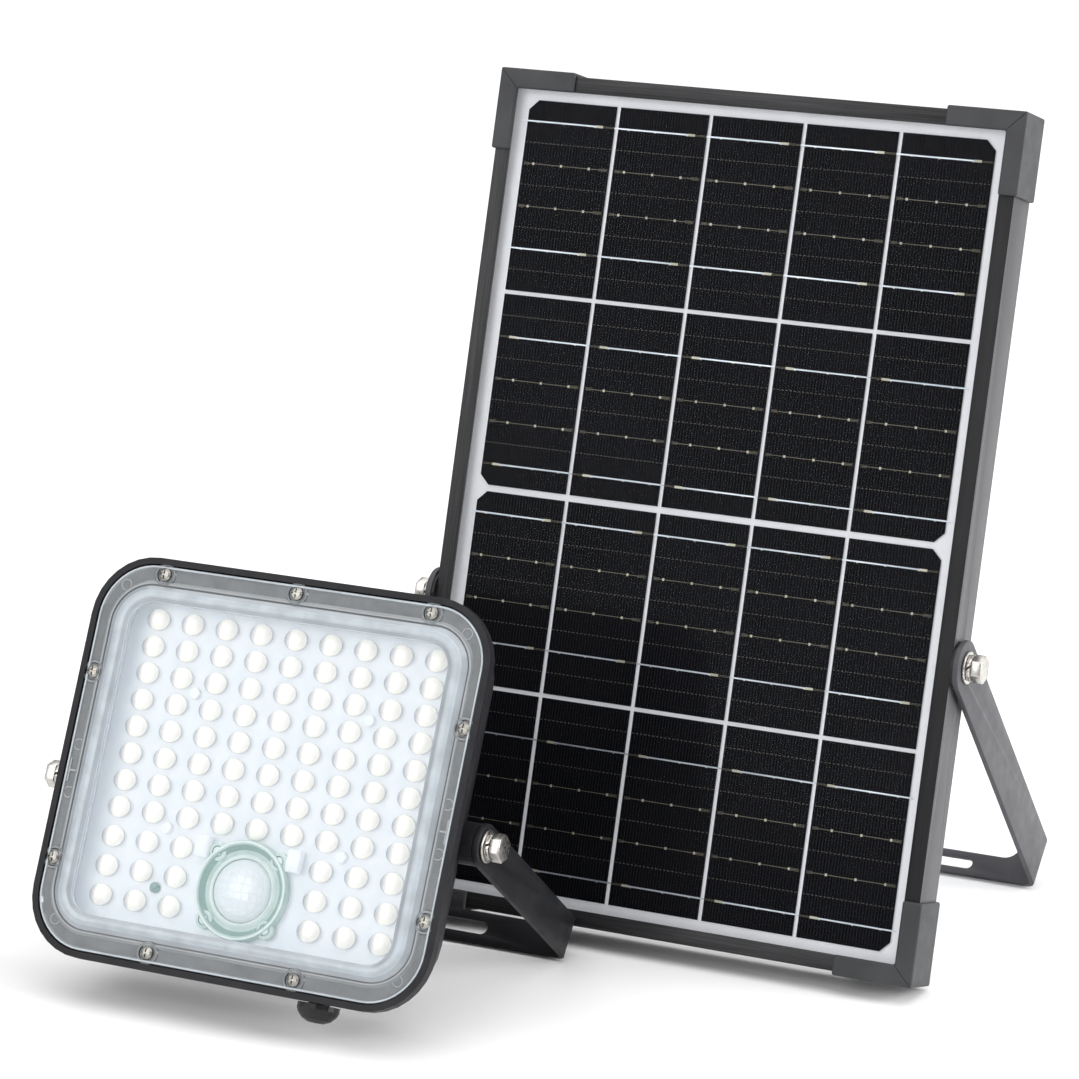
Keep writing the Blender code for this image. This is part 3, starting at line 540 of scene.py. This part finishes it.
PLATE_TOP = -8.3
ON_PLATE = PLATE_TOP + 0.1
MIDDLE_COLUMN = 4
LED_COLUMN_PITCH = 15.63
LED_ROW_PITCH = 10.95
LED_SPLIT_PITCH = 11.92
LED_TOP_ROW = 57.6
FULL_ROWS = 8
SPLIT_ROWS = 3
LED_COLUMNS = [LED_COLUMN_PITCH * (column - MIDDLE_COLUMN) for column in range(9)]
LED_LAST_FULL = LED_TOP_ROW - LED_ROW_PITCH * (FULL_ROWS - 1)
LED_FOOT = 5.15
LED_FOOT_HEIGHT = 0.4
LED_RADIUS = 5.0
LED_DOME_BASE = 0.5
LED_DOME_HEIGHT = 4.6
LED_DOME_STEPS = 6
LED_LEAN = 1.9
LED_SQUASH = 0.86
LED_SIDES = 24
WELL_FOOT = (74.5, 64.3, 9.8)
WELL_CLEARANCE = 0.4
WELL_DROP = 1.3


def led_centres():
    """Full rows of nine, then rows that leave the middle three out, for the motion sensor."""
    rows = [LED_TOP_ROW - LED_ROW_PITCH * row for row in range(FULL_ROWS)]
    rows += [LED_LAST_FULL - LED_SPLIT_PITCH * (row + 1) for row in range(SPLIT_ROWS)]
    for row, y in enumerate(rows):
        for column, x in enumerate(LED_COLUMNS):
            if row < FULL_ROWS or abs(column - MIDDLE_COLUMN) > 1:
                yield x, y


def led_profile():
    """(radius, height, lean to the right) from a lens's foot to its crown."""
    yield LED_FOOT, PLATE_TOP, 0.0
    yield LED_FOOT, PLATE_TOP + LED_FOOT_HEIGHT, 0.0
    for step in range(1, LED_DOME_STEPS):
        angle = math.pi / 2 * step / LED_DOME_STEPS
        rise = math.sin(angle)
        height = PLATE_TOP + LED_DOME_BASE + LED_DOME_HEIGHT * rise
        yield LED_RADIUS * math.cos(angle), height, LED_LEAN * rise


def make_leds():
    """The small lenses, each a low dome with a painted glow and painted shade, and the well round the board,
    which has a painted glow.
    """
    bm = bmesh.new()
    for x, y in led_centres():
        rings = []
        for radius, height, lean in led_profile():
            circle = circle_ring(radius, (0.0, 0.0), LED_SIDES)
            rings.append(([(x + lean + u, y + LED_SQUASH * v) for u, v in circle], height))
        loft(bm, rings, cap_last=True)
    domes = piece("led_domes", bm, (LED,), "lamp", LAMP, smooth=60.0)

    bm = bmesh.new()
    x, y, corner, z = COVER_RINGS[-1]
    foot = rounded_ring(*WELL_FOOT)
    top = rounded_ring(x + WELL_CLEARANCE, y + WELL_CLEARANCE, corner)
    loft(bm, [(foot, ON_PLATE), (top, z - WELL_DROP)])
    # painted glow: the well's walls take the board's emitting white
    walls = piece("light_well", bm, (BOARD,), "lamp", LAMP)


# ---------------------------------------------------------------------------------------------------------
# The motion sensor
# ---------------------------------------------------------------------------------------------------------

SENSOR = (0.0, -43.8)
SENSOR_SIDES = 72
HOLDER_MATERIALS = (GREEN, GREEN_DEEP_AND_SHADE, PALE_GREEN_HIGHLIGHT)
HOLDER_PROFILE = (  # radius, height above the base
    (20.0, 0.0), (20.0, 3.2), (19.6, 3.9), (18.8, 4.0), (18.2, 3.5), (16.2, 1.6), (14.6, 1.2), (13.9, 1.9),
    (13.4, 2.1), (12.9, 1.8), (12.8, 0.6),
)
# Slots: 0 green with painted glow, 1 deeper green as painted shade on the bowl's inner slope, 2 pale green
# as painted highlight on the rims.
HOLDER_SLOTS = (0, 0, 2, 0, 1, 0, 2, 2, 2, 0)
EAR_DISTANCE = 19.3
EAR_PROFILE = ((3.7, 0.0), (3.7, 2.4), (3.3, 2.9), (2.3, 2.9), (2.2, 2.2))
# The ears' rims carry the painted highlight and their hollows the painted shade.
EAR_SLOTS = (0, 2, 0, 1, 1)
EAR_SIDES = 28
EAR_SCREW_PROFILE = ((1.9, 2.2), (1.8, 3.0), (1.0, 3.4))
SMALL_SCREW_SIDES = 20
SENSOR_DOME_RADIUS = 12.7
SENSOR_DOME_BASE = 0.6
SENSOR_DOME_HEIGHT = 5.4
SENSOR_DOME_STEPS = 11


def raised(profile, base):
    return [(radius, base + height) for radius, height in profile]


def make_motion_sensor():
    """The sensor's holder with its four ears, and the dome that sits in it."""
    bm = bmesh.new()
    turned(bm, raised(HOLDER_PROFILE, ON_PLATE), SENSOR, SENSOR_SIDES, HOLDER_SLOTS, cap_last=False)
    for number in range(4):
        angle = math.radians(45 + 90 * number)
        ear = (SENSOR[0] + EAR_DISTANCE * math.cos(angle), SENSOR[1] + EAR_DISTANCE * math.sin(angle))
        turned(bm, raised(EAR_PROFILE, ON_PLATE), ear, EAR_SIDES, EAR_SLOTS)
        # painted highlight: the ear screws' heads take the pale green
        turned(bm, raised(EAR_SCREW_PROFILE, ON_PLATE), ear, SMALL_SCREW_SIDES, (2,))
    holder = piece("sensor_holder", bm, HOLDER_MATERIALS, "lamp", LAMP, smooth=50.0)
    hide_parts("pir_holder")

    bm = bmesh.new()
    profile = []
    for step in range(SENSOR_DOME_STEPS):
        angle = math.pi / 2 * step / SENSOR_DOME_STEPS
        height = ON_PLATE + SENSOR_DOME_BASE + SENSOR_DOME_HEIGHT * math.sin(angle)
        profile.append((SENSOR_DOME_RADIUS * math.cos(angle), height))
    turned(bm, profile, SENSOR, SENSOR_SIDES)
    dome = piece("sensor_dome", bm, (SENSOR_DOME,), "lamp", LAMP, smooth=60.0)
    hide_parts("pir_dome")


# ---------------------------------------------------------------------------------------------------------
# The solar cells: two blocks of two rows, with cut corners at the outside of each block
# ---------------------------------------------------------------------------------------------------------

CELL_COLUMNS = 5
CELL_WIDTH = 39.7
COLUMN_PITCH = 41.42
BLOCK_TOP = 163.0
BLOCK_BOTTOM = 1.35
ROW_GAP = 1.7
CELL_HEIGHT = (BLOCK_TOP - BLOCK_BOTTOM - ROW_GAP) / 2
CORNER_CUT = 4.1
CELL_TOP = -0.8
WAFER_THICKNESS = 0.3
PRINT_RISE = 0.05
BUSBARS = (0.111, 0.333, 0.556, 0.778)  # parts of the cell's height, down from its top
RIBBON_BUSBARS = (0, 3)
RIBBON_HALF = 0.30
RIBBON_RISE = 0.12
RIBBON_OVERHANG = 1.7
RIBBON_END = 0.87  # parts of the cell's width, where the ribbon ends on a plain and on a mirrored cell
RIBBON_END_MIRRORED = 0.12
RIBBON_PADS = (0.12, 0.42, 0.78)
RIBBON_PAD_HALF = 0.35
RIBBON_PAD_SPAN = (-0.62, -0.25)
BLOB_INSET = 1.6
BLOB_HALVES = (1.6, 0.48)
BLOB_RISE = 0.16
EDGE_LINES = (0.16, 0.28)  # two thin lines go on past the ribbon's end, this far from its middle
BUSBAR_INSET = 1.0
BUSBAR_HALF = 0.11
BUSBAR_PADS = (0.13, 0.45, 0.77)
BUSBAR_PAD_HALVES = (0.45, 0.50)
PAD_RISE = 0.02
FORK_OFFSET = 0.45  # a thin line beside a printed busbar, near each of its ends
FORK_HALF = 0.06
FORK_LEFT = (0.6, 3.4)
FORK_RIGHT = (4.5, 0.6)
DASH_PITCH = 0.2223
DASHES = 22
DASH_HALVES = (0.45, 0.11)


def cell_rows():
    """(top, cut at the top, cut at the bottom, mirrored) for each of the four rows."""
    for block_top in (BLOCK_TOP, -BLOCK_BOTTOM):
        yield block_top, True, False, False
        yield block_top - CELL_HEIGHT - ROW_GAP, False, True, True


def wafer_outline(left, right, top, bottom, column, cut_top, cut_bottom):
    """The wafer's corners in order, with two points at each cut one."""
    last = CELL_COLUMNS - 1
    corners = (
        (right, top, cut_top and column == last),
        (left, top, cut_top and column == 0),
        (left, bottom, cut_bottom and column == 0),
        (right, bottom, cut_bottom and column == last),
    )
    outline = []
    for x, y, cut in corners:
        if not cut:
            outline.append((x, y))
            continue
        inward_x = CORNER_CUT if x == left else -CORNER_CUT
        inward_y = -CORNER_CUT if y == top else CORNER_CUT
        ends = [(x + inward_x, y), (x, y + inward_y)]
        if (x == right) == (y == top):
            ends.reverse()
        outline.extend(ends)
    return outline


def make_cells():
    wafers = bmesh.new()
    prints = {kind: bmesh.new() for kind in ("ribbons", "lines", "faint", "pads")}
    for top, cut_top, cut_bottom, mirrored in cell_rows():
        bottom = top - CELL_HEIGHT
        for column in range(CELL_COLUMNS):
            left = COLUMN_PITCH * (column - CELL_COLUMNS // 2) - CELL_WIDTH / 2
            right = left + CELL_WIDTH
            outline = wafer_outline(left, right, top, bottom, column, cut_top, cut_bottom)
            layers = [(outline, CELL_TOP - WAFER_THICKNESS), (outline, CELL_TOP)]
            loft(wafers, layers, cap_first=True, cap_last=True)
            print_busbars(prints, left, right, top, bottom, mirrored)
            print_dashes(prints["faint"], left, right, top, bottom, mirrored)
    made = [
        piece("cell_wafers", wafers, (CELL,), "panel", PANEL, smooth=0.0),
        piece("cell_ribbons", prints["ribbons"], (RIBBON,), "panel", PANEL, smooth=0.0),
        piece("cell_print", prints["lines"], (TAN,), "panel", PANEL, smooth=0.0),
        piece("cell_print_faint", prints["faint"], (FAINT,), "panel", PANEL, smooth=0.0),
        piece("cell_pads", prints["pads"], (PAD,), "panel", PANEL, smooth=0.0),
    ]
    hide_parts("solar_cells")


def layer(rise=0.0):
    """The heights of something printed or soldered on the wafer."""
    return CELL_TOP, CELL_TOP + PRINT_RISE + rise


def print_busbars(prints, left, right, top, bottom, mirrored):
    """One cell's busbars: a soldered ribbon on the outer two, and a thin printed line on the inner two."""
    width = right - left
    height = top - bottom
    lines = prints["lines"]
    pads = prints["pads"]

    def across(part):
        return right - part * width if mirrored else left + part * width

    stops = [1 - stop for stop in BUSBARS] if mirrored else BUSBARS
    for number, stop in enumerate(stops):
        y = top - stop * height
        if number in RIBBON_BUSBARS:
            if mirrored:
                ends = (left + RIBBON_END_MIRRORED * width, right + RIBBON_OVERHANG)
                blob = ends[0] + BLOB_INSET
                rest = (left, ends[0])
            else:
                ends = (left - RIBBON_OVERHANG, left + RIBBON_END * width)
                blob = ends[1] - BLOB_INSET
                rest = (ends[1], right)
            bar(prints["ribbons"], ends, centred(y, RIBBON_HALF), layer(RIBBON_RISE))
            bar(pads, centred(blob, BLOB_HALVES[0]), centred(y, BLOB_HALVES[1]), layer(BLOB_RISE))
            bar(lines, rest, (y + EDGE_LINES[0], y + EDGE_LINES[1]), layer())
            bar(lines, rest, (y - EDGE_LINES[1], y - EDGE_LINES[0]), layer())
            for part in RIBBON_PADS:
                sides = (y + RIBBON_PAD_SPAN[0], y + RIBBON_PAD_SPAN[1])
                bar(pads, centred(across(part), RIBBON_PAD_HALF), sides, layer(PAD_RISE))
        else:
            bar(lines, (left + BUSBAR_INSET, right - BUSBAR_INSET), centred(y, BUSBAR_HALF), layer())
            for part in BUSBAR_PADS:
                ends = centred(across(part), BUSBAR_PAD_HALVES[0])
                bar(pads, ends, centred(y, BUSBAR_PAD_HALVES[1]), layer(PAD_RISE))
            for side in (-FORK_OFFSET, FORK_OFFSET):
                fork = centred(y + side, FORK_HALF)
                bar(lines, (right - FORK_RIGHT[0], right - FORK_RIGHT[1]), fork, layer())
                bar(lines, (left + FORK_LEFT[0], left + FORK_LEFT[1]), fork, layer())


def print_dashes(faint, left, right, top, bottom, mirrored):
    """One cell's faint dashed lines, between its busbars."""
    first = BUSBARS[0] if mirrored else 2 * BUSBARS[0]
    for number in range(4):
        y = top - (first + DASH_PITCH * number) * (top - bottom)
        for dash in range(DASHES):
            x = left + (dash + 0.5) * (right - left) / DASHES
            bar(faint, centred(x, DASH_HALVES[0]), centred(y, DASH_HALVES[1]), layer())


# ---------------------------------------------------------------------------------------------------------
# Small screws that hold the junction box's lid
# ---------------------------------------------------------------------------------------------------------

LID_BACK = -2.4 - 12.0 - 0.3 - 1.6  # the box's front, its depth, a gap and the lid's thickness
LID_CENTRE_Y = 115.0
LID_SCREWS = (21.5, 15.5)
LID_SCREW_PROFILE = ((1.9, 0.0), (1.7, -0.7), (0.9, -1.0))


def make_lid_screws():
    bm = bmesh.new()
    for x in (-LID_SCREWS[0], LID_SCREWS[0]):
        for y in (LID_CENTRE_Y - LID_SCREWS[1], LID_CENTRE_Y + LID_SCREWS[1]):
            turned(bm, raised(LID_SCREW_PROFILE, LID_BACK), (x, y), SMALL_SCREW_SIDES)
    screws = piece("lid_screws", bm, (STEEL,), "panel", PANEL)


make_cover()
make_leds()
make_motion_sensor()
make_cells()
make_lid_screws()


# ---------------------------------------------------------------------------------------------------------
# The CAD nodes' own surfaces
# ---------------------------------------------------------------------------------------------------------

NODE_MATERIALS = {  # by the start of a node's name; the longest start that fits counts
    "lamp_housing": HOUSING,
    "lens_cover": FLANGE,
    "cover_gasket": RUBBER,
    "cable_gland": RUBBER,
    "panel_cable_inlet": RUBBER,
    "led_board": WHITE_PLASTIC,
    "led_lens_array": BOARD,
    "connector": WHITE_PLASTIC,
    "board_screw": MILKY,
    "light_sensor": GREEN_DEEP_AND_SHADE,
    "pir_holder": GREEN,
    "pir_dome": MILKY,
    "pir_sensor": STEEL,
    "cover_screw": SCREW_STEEL,
    "battery_cell": WRAP,
    "control_board": CIRCUIT,
    "lamp_bolt": STEEL,
    "lamp_flat_washer": STEEL,
    "lamp_spring_washer": STEEL,
    "panel_bolt": STEEL,
    "panel_flat_washer": STEEL,
    "panel_spring_washer": STEEL,
    "lamp_bracket": DARK_COAT,
    "panel_bracket": GREY_COAT,
    "rail_left": RAIL_LEFT,
    "rail_right": RAIL_RIGHT_PAINTED_SHADE,
    "rail_top": RAIL_LEVEL,
    "rail_bottom": RAIL_LEVEL,
    "corner_guard": GUARD,
    "junction_box": GUARD,
    "pivot_pad": RUBBER,
    "panel_glass": GLASS,
    "solar_cells": CELL,
    "backsheet": BACKSHEET,
}
BEVELS = {"bolt": 0.0004, "washer": 0.00012, "bracket": 0.00035, "rail": 0.0002, "connector": 0.0003}
SHARP_ANGLE = math.radians(32)
BEVEL_ANGLE = math.radians(50)
WELD_DISTANCE = 0.00001


def dress(name, node):
    """Gives a CAD node its material, smooth shading, and a small bevel where light should catch an edge."""
    key = max((start for start in NODE_MATERIALS if name.startswith(start)), key=len)
    node.data.materials.clear()
    node.data.materials.append(NODE_MATERIALS[key])
    node.data.shade_smooth()
    node.data.set_sharp_from_angle(angle=SHARP_ANGLE)
    for word, width in BEVELS.items():
        if word in name:
            weld = node.modifiers.new("weld", "WELD")
            weld.merge_threshold = WELD_DISTANCE
            edge = node.modifiers.new("edges", "BEVEL")
            edge.width = width
            edge.segments = 2
            edge.limit_method = "ANGLE"
            edge.angle_limit = BEVEL_ANGLE


for name, node in nodes.items():
    dress(name, node)


# ---------------------------------------------------------------------------------------------------------
# Floor, lights and camera
# ---------------------------------------------------------------------------------------------------------

FLOOR_HALF = 9.0
FLOOR_GAP = 0.0003
SKY_STRENGTH = 0.50
LIGHTS = (  # name, place, size, watts, target
    ("top", (0.0, 1.0, 3.4), (6.0, 6.0), 150.0, (0.0, 0.6, 0.0)),
    ("front", (-1.2, -2.4, 1.7), (2.2, 2.0), 34.0, (0.0, 0.0, 0.15)),
    ("right", (2.4, 0.3, 0.8), (1.2, 1.6), 66.0, (0.0, 0.0, 0.15)),
)
CAMERA_PLACE = Vector((0.70722, -1.50442, 0.66311))
CAMERA_AZIMUTH = math.radians(25.282)
CAMERA_ELEVATION = math.radians(16.551)
CAMERA_LENS = 143.5
CAMERA_SENSOR = 36.0


def make_floor():
    bm = bmesh.new()
    bmesh.ops.create_grid(bm, x_segments=1, y_segments=1, size=FLOOR_HALF)
    mesh = bpy.data.meshes.new("floor")
    bm.to_mesh(mesh)
    bm.free()
    floor = bpy.data.objects.new("floor", mesh)
    floor.location = (0.0, 0.0, cad_box[0].z - FLOOR_GAP)
    bpy.context.scene.collection.objects.link(floor)
    paint = Paint("floor_paper", Roughness=0.9, Specular_IOR_Level=0.1)
    cloud = paint.noise(paint.coordinates(), scale=3.0)
    paint.feed("Base Color", paint.blend(cloud, (0.90, 0.90, 0.90), (0.92, 0.92, 0.92)))
    mesh.materials.append(paint.material)


def make_light(name, place, size, watts, target):
    light = bpy.data.lights.new(name, "AREA")
    light.shape = "RECTANGLE"
    light.size, light.size_y = size
    light.energy = watts
    obj = bpy.data.objects.new(name, light)
    obj.location = place
    obj.rotation_mode = "QUATERNION"
    obj.rotation_quaternion = (Vector(target) - Vector(place)).to_track_quat("-Z", "Y")
    bpy.context.scene.collection.objects.link(obj)


def make_studio():
    world = bpy.data.worlds.new("studio")
    world.use_nodes = True
    sky = world.node_tree.nodes["Background"]
    sky.inputs["Color"].default_value = (1.0, 1.0, 1.0, 1.0)
    sky.inputs["Strength"].default_value = SKY_STRENGTH
    bpy.context.scene.world = world
    for light in LIGHTS:
        make_light(*light)
    bpy.context.scene.view_settings.view_transform = "Standard"


def make_camera():
    camera = bpy.data.cameras.new("camera")
    camera.lens = CAMERA_LENS
    camera.sensor_width = CAMERA_SENSOR
    camera.clip_start = 0.05
    camera.clip_end = 60.0
    obj = bpy.data.objects.new("camera", camera)
    obj.location = CAMERA_PLACE
    obj.rotation_euler = Euler((math.pi / 2 - CAMERA_ELEVATION, 0.0, CAMERA_AZIMUTH))
    bpy.context.scene.collection.objects.link(obj)
    bpy.context.scene.camera = obj


make_floor()
make_studio()
make_camera()

bpy.context.view_layer.update()
